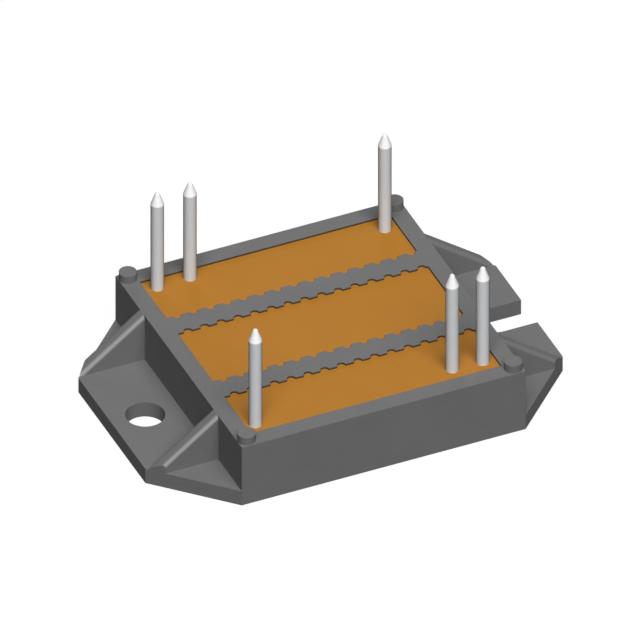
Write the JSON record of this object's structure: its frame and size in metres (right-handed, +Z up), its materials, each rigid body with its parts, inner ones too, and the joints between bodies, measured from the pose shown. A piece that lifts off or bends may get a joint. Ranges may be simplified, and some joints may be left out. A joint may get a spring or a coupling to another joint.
{
  "type": "thyristor module",
  "caption": "Low power module: a potted plastic frame with a screw hole and a slot in its end flanges, notched cross ribs, corner studs and round solder pins.",
  "frame": {"origin": "centre of the base, on the plane of the base copper", "axes": "+X along the flanges towards the open slot, +Y across them, +Z up along the pins"},
  "size_m": [0.05, 0.034, 0.0207],
  "materials": {
    "housing_plastic": "dark grey moulded plastic, matt",
    "potting_resin": "orange-brown cast resin, satin",
    "tinned_pin": "bright tin plating on copper",
    "ceramic": "off-white alumina, matt",
    "copper": "bare copper, satin",
    "solder": "grey soft solder",
    "silicon": "dark polished silicon",
    "bond_wire": "bright drawn wire",
    "adhesive": "dark set adhesive"
  },
  "bodies": {
    "root": {"adhesive_bead": "adhesive", "auxiliary_cathode_pad_a": "copper", "auxiliary_cathode_pad_b": "copper", "auxiliary_cathode_pin_a": "tinned_pin", "auxiliary_cathode_pin_b": "tinned_pin", "auxiliary_cathode_pin_solder_a": "solder", "auxiliary_cathode_pin_solder_b": "solder", "auxiliary_cathode_wire_a": "bond_wire", "auxiliary_cathode_wire_b": "bond_wire", "base_copper": "copper", "cathode_clip_a": "copper", "cathode_clip_b": "copper", "ceramic_substrate": "ceramic", "chip_solder_a": "solder", "chip_solder_b": "solder", "clip_foot_solder_a": "solder", "clip_foot_solder_b": "solder", "clip_seat_solder_a": "solder", "clip_seat_solder_b": "solder", "copper_track_a": "copper", "copper_track_b": "copper", "gate_pad_a": "copper", "gate_pad_b": "copper", "gate_pin_a": "tinned_pin", "gate_pin_b": "tinned_pin", "gate_pin_solder_a": "solder", "gate_pin_solder_b": "solder", "gate_wire_a": "bond_wire", "gate_wire_b": "bond_wire", "housing": "housing_plastic", "potting_compound": "potting_resin", "power_pin_a": "tinned_pin", "power_pin_b": "tinned_pin", "power_pin_solder_a": "solder", "power_pin_solder_b": "solder", "thyristor_chip_a": "silicon", "thyristor_chip_b": "silicon"}
  },
  "joints": []
}
